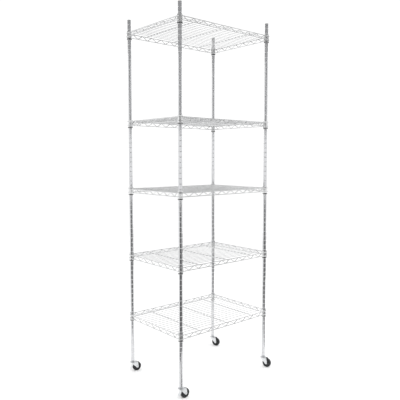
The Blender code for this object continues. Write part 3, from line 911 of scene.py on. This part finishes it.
def core_mesh(bore):
    """Wheel centre: hub, dished web with ribs, and the rim under the tyre."""
    web = WEB_HALF
    side = [(bore, HUB_HALF), (0.0064, HUB_HALF), (0.0071, HUB_HALF - 0.0006)]
    side += [(0.0076, web + 0.0012), (0.0088, web), (0.0142, web), (0.0152, web + 0.0010)]
    side += [(0.0158, TREAD_HALF - 0.0012), (0.0164, TREAD_HALF - 0.0008)]
    side.append((CORE_R, TREAD_HALF - 0.0008))
    outline = side + [(r, -y) for r, y in reversed(side)]
    bm = bmesh.new()
    lathe(bm, outline, WHEEL_SIDES, along_y=True)
    for i in range(RIBS):
        turn = Matrix.Rotation(math.radians(360 / RIBS * i + RIB_START), 4, "Y")
        for face in (-1, 1):
            add_rib(bm, turn, face)
    return to_mesh(bm, "core", sharp=40.0)


def add_rib(bm, turn, face):
    """Tapered rib across the web, from the hub to the rim."""
    half = RIB_HALF
    rings = []
    for x, top in RIB_STATIONS:
        section = [(0.0026, -half), (top - 0.0003, -half), (top, -half * 0.5)]
        section += [(y, -z) for y, z in reversed(section)]
        rings.append([bm.verts.new(turn @ Vector((x, face * y, z))) for y, z in section])
    skin(bm, rings)


def axle_mesh():
    """Bolt with a hex head, washers and a lock nut with a collar."""
    bm = bmesh.new()
    face = FORK_INNER / 2 + FORK_SHEET + 0.0001
    head = face + BOLT_HEAD
    shank = [(HAIR, -face - 0.001), (BOLT_R, -face - 0.001), (BOLT_R, face + 0.001)]
    shank.append((HAIR, face + 0.001))
    lathe(bm, shank, BOLT_SIDES, along_y=True)
    for side in (-1, 1):
        under, over = side * face, side * (face + WASHER)
        washer = [(WASHER_BORE, under), (WASHER_R, under), (WASHER_R, over), (WASHER_BORE, over)]
        lathe(bm, washer[::side], SMALL_SIDES, along_y=True)
    hexagon(bm, BOLT_HEAD_R, face + 0.0005, head, along_y=True)
    hexagon(bm, BOLT_HEAD_R, -head + 0.0006, -face - 0.0005, along_y=True)
    collar = [(HAIR, -head), (0.0026, -head), (0.0033, -head + 0.0003)]
    collar += [(0.0034, -head + 0.0008), (HAIR, -head + 0.0008)]
    lathe(bm, collar[::-1], SMALL_SIDES, along_y=True)
    return to_mesh(bm, "axle", sharp=30.0)


def pedal_mesh():
    """Sheet pedal rolled round its pin, bent twice, with a rounded, ribbed toe."""
    bm = bmesh.new()
    half = BRAKE_HALF_WIDTH
    top, knee, toe = (Vector((x, 0, z)) for x, z in BRAKE_ARM)
    path = rounded([top, knee, toe], BRAKE_BEND_R, steps=6)
    dense = [path[0]]
    for a, b in zip(path, path[1:]):
        steps = max(int((b - a).length / BRAKE_STEP), 1)
        dense += [a + (b - a) * i / steps for i in range(1, steps + 1)]
    lengths = [0.0]
    for a, b in zip(dense, dense[1:]):
        lengths.append(lengths[-1] + (b - a).length)
    corner = BRAKE_CORNER
    rings = []
    for i, point in enumerate(dense):
        ahead = dense[min(i + 1, len(dense) - 1)] - dense[max(i - 1, 0)]
        across = Vector((0, 1, 0)).cross(ahead.normalized())
        to_toe = lengths[-1] - lengths[i]
        left = max(corner - to_toe, 0.0)
        width = half - corner + math.sqrt(max(corner ** 2 - left ** 2, 1e-9))
        rib = BRAKE_RIB if to_toe < BRAKE_RIBBED and i % 3 == 0 else 0.0
        row = [point + Vector((0, width * (k / 8 - 1), 0)) for k in range(17)]
        outside = [bm.verts.new(place - across * (BRAKE_SHEET / 2 + rib)) for place in row]
        inside = [bm.verts.new(place + across * BRAKE_SHEET / 2) for place in row]
        rings.append(outside + inside[::-1])
    skin(bm, rings)
    eye = [(BRAKE_EYE_BORE, -half), (BRAKE_EYE_R, -half), (BRAKE_EYE_R, half)]
    eye.append((BRAKE_EYE_BORE, half))
    lathe(bm, eye, SMALL_SIDES, along_y=True)
    return to_mesh(bm, "pedal", sharp=45.0)


def pin_mesh():
    """Brake pin peened over at both ends."""
    face = FORK_INNER / 2 + FORK_SHEET
    end = face + 0.0009
    outline = [(HAIR, -end), (0.0017, -end), (0.0024, -end + 0.0004)]
    outline += [(0.0024, -face), (0.0016, -face)]
    outline += [(r, -y) for r, y in reversed(outline)]
    bm = bmesh.new()
    lathe(bm, outline, BOLT_SIDES, along_y=True)
    return to_mesh(bm, "pin", sharp=40.0)


def make_casters(steel, tyre, hub_plastic):
    axle = axle_offset("front_left")
    post_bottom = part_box("post_front_left")[0].z
    stem_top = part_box("caster_stem_front_left")[1].z
    socket_low, socket_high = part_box("caster_socket_front_left")
    socket_size = socket_high - socket_low
    meshes = {
        "fork": fork_mesh(axle),
        "stem": stem_mesh(post_bottom, stem_top),
        "socket": socket_mesh(SOCKET_BORE, socket_size.x / 2, socket_size.z),
        "tread": tread_mesh(),
        "core": core_mesh(HUB_BORE),
        "axle": axle_mesh(),
        "pedal": pedal_mesh(),
        "pin": pin_mesh(),
    }
    for corner in CORNERS:
        swivel = swivel_matrix(corner)
        hub = swivel @ Matrix.Translation(axle)
        body = f"caster_{corner}"
        wheel = f"wheel_{corner}"
        piece(f"fork_{corner}", meshes["fork"], steel, body,
              [f"caster_fork_{corner}"], swivel, bevel=FORK_EDGE)
        piece(f"stem_{corner}", meshes["stem"], steel, "rack",
              [f"caster_stem_{corner}"], swivel)
        piece(f"socket_{corner}", meshes["socket"], steel, "rack",
              [f"caster_socket_{corner}"], swivel @ Matrix.Translation((0, 0, socket_low.z)))
        piece(f"tyre_{corner}", meshes["tread"], tyre, wheel,
              [f"caster_wheel_{corner}"], hub)
        piece(f"wheel_core_{corner}", meshes["core"], hub_plastic, wheel, [], hub)
        piece(f"axle_bolt_{corner}", meshes["axle"], steel, body,
              [f"caster_axle_{corner}"], hub)
        if corner in BRAKED:
            pin = swivel @ Matrix.Translation(brake_offset(corner))
            piece(f"pedal_{corner}", meshes["pedal"], steel, f"brake_{corner}",
                  [f"brake_pedal_{corner}"], pin)
            piece(f"pin_{corner}", meshes["pin"], steel, body,
                  [f"brake_pin_{corner}"], pin)


# --- Studio ---

def make_floor():
    bm = bmesh.new()
    bmesh.ops.create_grid(bm, x_segments=4, y_segments=4, size=40.0)
    floor = bpy.data.objects.new("floor", to_mesh(bm, "floor"))
    bpy.context.scene.collection.objects.link(floor)
    material = bpy.data.materials.new("floor")
    material.use_nodes = True
    shader = material.node_tree.nodes["Principled BSDF"]
    shader.inputs["Base Color"].default_value = (0.96, 0.96, 0.96, 1.0)
    shader.inputs["Roughness"].default_value = 0.9
    shader.inputs["Specular IOR Level"].default_value = 0.1
    floor.data.materials.append(material)


def make_card(name, azimuths, near, far, grey):
    """Matt screen that only reflections see, from its near edge to its far edge."""
    bm = bmesh.new()
    rows = []
    first, last = azimuths
    for i in range(CARD_STEPS + 1):
        angle = math.radians(first + (last - first) * i / CARD_STEPS)
        out = Vector((math.cos(angle), math.sin(angle), 0))
        edges = [out * distance + Vector((0, 0, height)) for distance, height in (near, far)]
        rows.append([bm.verts.new(place) for place in edges])
    for before, after in zip(rows, rows[1:]):
        bm.faces.new((before[0], after[0], after[1], before[1]))
    card = bpy.data.objects.new(name, to_mesh(bm, name))
    bpy.context.scene.collection.objects.link(card)
    material = bpy.data.materials.new(name)
    material.use_nodes = True
    shader = material.node_tree.nodes["Principled BSDF"]
    shader.inputs["Base Color"].default_value = (grey, grey, grey, 1.0)
    shader.inputs["Roughness"].default_value = 1.0
    shader.inputs["Specular IOR Level"].default_value = 0.0
    card.data.materials.append(material)
    card.visible_camera = False
    card.visible_diffuse = False
    card.visible_shadow = False


def make_light(name, place, size, power):
    """Soft light that lights the pieces but isn't mirrored in them."""
    data = bpy.data.lights.new(name, "AREA")
    data.shape = "RECTANGLE"
    data.size, data.size_y = size
    data.energy = power
    light = bpy.data.objects.new(name, data)
    bpy.context.scene.collection.objects.link(light)
    light.location = place
    aim = Vector(LIGHT_AIM) - Vector(place)
    light.rotation_euler = aim.to_track_quat("-Z", "Y").to_euler()
    light.visible_glossy = False


def make_studio():
    make_floor()
    for name, azimuths, near, far, grey in ROOM:
        make_card(name, azimuths, near, far, grey)
    for name, place, size, power in LIGHTS:
        make_light(name, place, size, power)
    world = bpy.data.worlds.new("studio")
    bpy.context.scene.world = world
    world.use_nodes = True
    background = world.node_tree.nodes["Background"]
    background.inputs["Color"].default_value = (1.0, 1.0, 1.0, 1.0)
    background.inputs["Strength"].default_value = WORLD_STRENGTH
    bpy.context.scene.view_settings.view_transform = "Standard"


def make_camera():
    """Camera solved from the photograph, placed from the front left post."""
    x, y = post_axis("front_left")
    base = Vector((x, y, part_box("post_front_left")[0].z))
    yaw = math.radians(CAMERA_YAW)
    pitch = math.radians(CAMERA_PITCH)
    level = math.cos(pitch)
    forward = Vector((math.cos(yaw) * level, math.sin(yaw) * level, -math.sin(pitch)))
    right = Vector((math.sin(yaw), -math.cos(yaw), 0))
    up = right.cross(forward)
    matrix = Matrix((right, up, -forward)).transposed().to_4x4()
    matrix.translation = base + CAMERA_OFFSET
    data = bpy.data.cameras.new("camera")
    data.sensor_width = 36.0
    data.lens = CAMERA_LENS
    data.shift_x, data.shift_y = CAMERA_SHIFT
    camera = bpy.data.objects.new("camera", data)
    bpy.context.scene.collection.objects.link(camera)
    camera.matrix_world = matrix
    bpy.context.scene.camera = camera


wire_chrome = chrome("wire_chrome", *WIRE_CHROME)
post_chrome = chrome("post_chrome", *POST_CHROME)
make_posts(post_chrome)
make_caps(plastic("cap_plastic", *CAP_PLASTIC))
make_shelves(wire_chrome)
make_sleeves(plastic("sleeve_plastic", *SLEEVE_PLASTIC))
make_casters(zinc("caster_zinc"), rubber("tyre_rubber"), plastic("hub_plastic", *HUB_PLASTIC))
make_studio()
make_camera()
